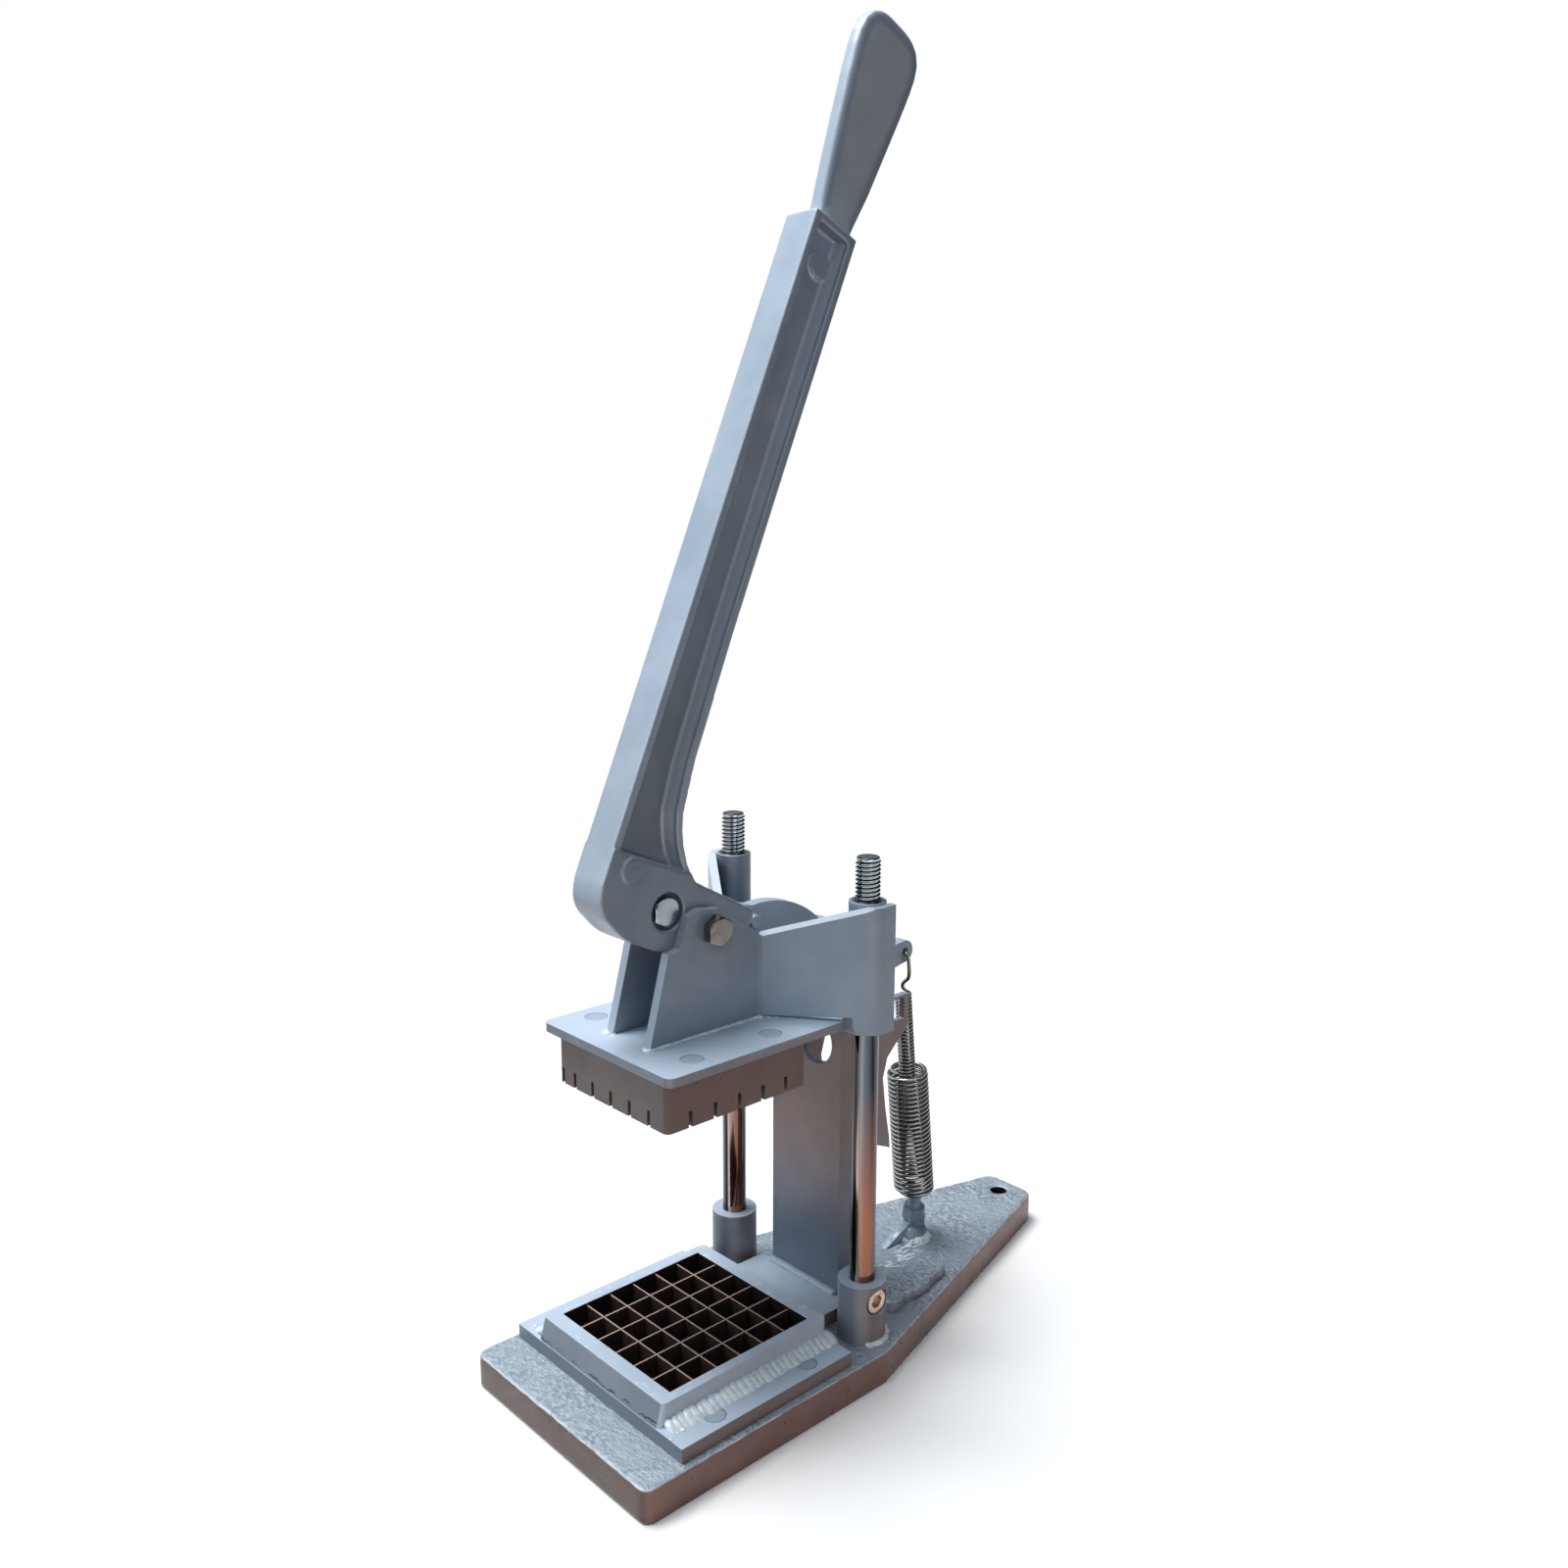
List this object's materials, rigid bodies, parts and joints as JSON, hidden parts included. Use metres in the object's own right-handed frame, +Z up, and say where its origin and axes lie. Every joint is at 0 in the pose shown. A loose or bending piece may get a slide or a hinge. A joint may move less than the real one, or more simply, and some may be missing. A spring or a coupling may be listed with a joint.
{
  "type": "french fry cutter",
  "caption": "Bench cutter whose long hand lever drives a slotted pusher block down two guide rods and through a square grid of blades, with return springs at the tail",
  "frame": {"origin": "on the surface that the machine stands on, under the middle of the base plate", "axes": "+Z up, +Y from the blade grid towards the tail, X across the machine from one guide rod to the other"},
  "size_m": [0.136, 0.3306, 0.6467],
  "materials": {
    "cast_paint": "stippled cast surface under silver-grey paint",
    "satin_paint": "satin silver-grey paint on steel",
    "lever_paint": "satin silver-grey paint on a casting",
    "painted_screw": "flush screw heads under the same paint",
    "weld_bead": "rippled weld bead under thin paint",
    "blade_steel": "thin stainless strip with a ground top edge",
    "rod_chrome": "bright plated rod",
    "screw_steel": "plain bright screw steel",
    "spring_steel": "bright drawn spring wire",
    "block_aluminium": "matt machined block, dull grey",
    "bush_steel": "plain grey bearing sleeve",
    "bolt_steel": "stainless hexagon bolt",
    "zinc_steel": "bright zinc-plated steel"
  },
  "bodies": {
    "base": {"base_plate": "cast_paint", "holder_plate": "satin_paint", "blade_frame": "satin_paint", "blades_across": "blade_steel", "blades_along": "blade_steel", "holder_screws": "painted_screw", "frame_weld": "weld_bead", "socket_left": "satin_paint", "socket_right": "satin_paint", "set_screws": "screw_steel", "guide_rod_left": "rod_chrome", "guide_rod_right": "rod_chrome", "column": "satin_paint", "column_weld": "weld_bead", "fork_plate_left": "satin_paint", "fork_plate_right": "satin_paint", "spring_post": "cast_paint"},
    "carriage": {"pusher_plate": "satin_paint", "pusher_block": "block_aluminium", "pusher_screws": "painted_screw", "side_plate_left": "satin_paint", "side_plate_right": "satin_paint", "side_plate_welds": "weld_bead", "sleeve_left": "satin_paint", "sleeve_right": "satin_paint", "bush_left": "bush_steel", "bush_right": "bush_steel", "pivot_bolt": "bolt_steel", "pivot_washer": "zinc_steel", "pivot_nut": "zinc_steel"},
    "lever": {"lever_arm": "lever_paint", "tail_plate": "satin_paint", "tail_bolt": "zinc_steel", "tail_nut": "zinc_steel", "nose_pin": "satin_paint", "fulcrum_pin": "screw_steel", "fulcrum_collars": "zinc_steel"},
    "spring_lower": {"large_spring": "spring_steel"},
    "spring_upper": {"small_spring": "spring_steel"}
  },
  "joints": [
    {"name": "pusher_slide", "type": "slide", "parent": "base", "child": "carriage", "axis": [0, 0, -1], "range_m": [0, 0.128], "stiffness_N_per_m": 400, "springref_m": -0.12},
    {"name": "lever_turn", "type": "hinge", "parent": "carriage", "child": "lever", "pos_m": [0, -0.08325, 0.2315], "axis": [1, 0, 0], "range_deg": [0, 67.2]},
    {"name": "spring_swing", "type": "hinge", "parent": "base", "child": "spring_lower", "pos_m": [0, 0.07605, 0.038], "axis": [1, 0, 0], "range_deg": [0, 13.4]},
    {"name": "spring_stretch", "type": "slide", "parent": "spring_lower", "child": "spring_upper", "axis": [0, -0.1047, 0.9945], "range_m": [0, 0.0409], "deforming": ["large_spring", "small_spring"]}
  ],
  "couplings": [
    {"joint": "lever_turn", "follows": "pusher_slide", "rad_per_m": 9.15},
    {"joint": "spring_swing", "follows": "pusher_slide", "rad_per_m": 1.815},
    {"joint": "spring_stretch", "follows": "pusher_slide", "ratio": 0.318}
  ]
}
